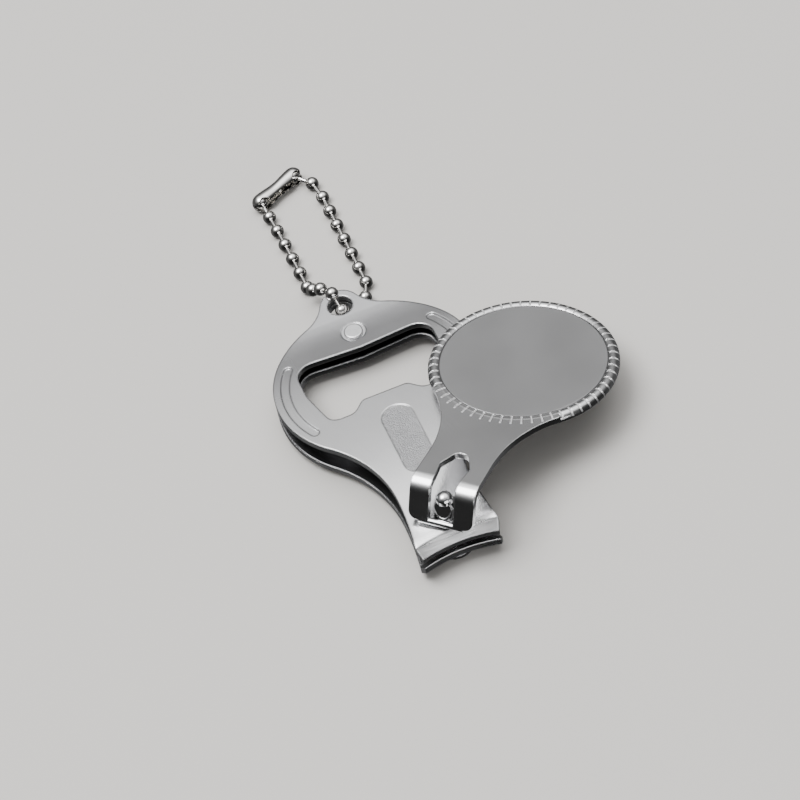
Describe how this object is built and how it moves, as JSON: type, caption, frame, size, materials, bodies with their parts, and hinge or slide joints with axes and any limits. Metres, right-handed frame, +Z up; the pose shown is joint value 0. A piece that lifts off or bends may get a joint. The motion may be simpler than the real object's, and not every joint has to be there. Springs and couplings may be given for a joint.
{
  "type": "key-ring nail clipper with bottle opener",
  "caption": "Sprung two-arm nail clipper with a bottle-opener cut-out, a swivelling round-headed lever on a pivot pin and a ball chain through the tail.",
  "frame": {"origin": "on the pivot pin's axis, at the underside of its bottom head, which stands on the table", "axes": "+Z up along the pivot pin, +Y towards the tail and the chain, -Y towards the jaws, +X to the right"},
  "size_m": [0.0595, 0.1029, 0.0157],
  "materials": {
    "arm_chrome": "bright chrome plate on pressed steel",
    "rivet_chrome": "bright chrome plate",
    "pin_chrome": "bright chrome plate",
    "lever_chrome": "bright chrome plate on pressed steel",
    "badge_satin": "fine satin brushed, bare",
    "chain_nickel": "nickel plate",
    "clasp_nickel": "nickel plate"
  },
  "bodies": {
    "lower_body": {"lower_arm": "arm_chrome", "tail_rivet": "rivet_chrome"},
    "upper_body": {"upper_arm": "arm_chrome"},
    "pin_body": {"pivot_pin": "pin_chrome"},
    "lever_body": {"lever": "lever_chrome", "badge_disc": "badge_satin"},
    "chain_threaded": {"chain_ball_01": "chain_nickel", "chain_ball_02": "chain_nickel", "chain_ball_03": "chain_nickel", "chain_ball_04": "chain_nickel", "chain_ball_05": "chain_nickel", "chain_ball_06": "chain_nickel", "chain_ball_07": "chain_nickel", "chain_links_threaded": "chain_nickel"},
    "chain_loop": {"chain_ball_08": "chain_nickel", "chain_ball_09": "chain_nickel", "chain_ball_10": "chain_nickel", "chain_ball_11": "chain_nickel", "chain_ball_12": "chain_nickel", "chain_ball_13": "chain_nickel", "chain_ball_14": "chain_nickel", "chain_ball_15": "chain_nickel", "chain_ball_16": "chain_nickel", "chain_ball_17": "chain_nickel", "chain_ball_18": "chain_nickel", "chain_ball_19": "chain_nickel", "chain_ball_20": "chain_nickel", "chain_ball_21": "chain_nickel", "chain_ball_22": "chain_nickel", "chain_links_loop": "chain_nickel"},
    "clasp_body": {"chain_clasp": "clasp_nickel"}
  },
  "joints": [
    {"name": "jaw_close", "type": "hinge", "parent": "lower_body", "child": "upper_body", "pos_m": [0, 0.0495, 0.0041], "axis": [1, 0, 0], "range_deg": [0, 1.3], "stiffness_Nm_per_rad": 20},
    {"name": "pin_swivel", "type": "hinge", "parent": "lower_body", "child": "pin_body", "pos_m": [0, 0, 0], "axis": [0, 0, 1], "continuous": true},
    {"name": "lever_tilt", "type": "hinge", "parent": "pin_body", "child": "lever_body", "pos_m": [-0.00188, -0.00194, 0.0093], "axis": [0.7193, -0.6947, 0], "range_deg": [0, 115]},
    {"name": "chain_swing", "type": "hinge", "parent": "lower_body", "child": "chain_threaded", "pos_m": [0, 0.0568, 0.0041], "axis": [0, 0, 1], "range_deg": [-15, 15]},
    {"name": "chain_lift", "type": "hinge", "parent": "chain_threaded", "child": "chain_loop", "pos_m": [0, 0.0678, 0.00125], "axis": [1, 0, 0], "range_deg": [0, 60]},
    {"name": "clasp_roll", "type": "hinge", "parent": "chain_loop", "child": "clasp_body", "pos_m": [-0.0002, 0.09335, 0.00175], "axis": [0.9083, 0.4183, 0], "range_deg": [-6, 6]}
  ]
}
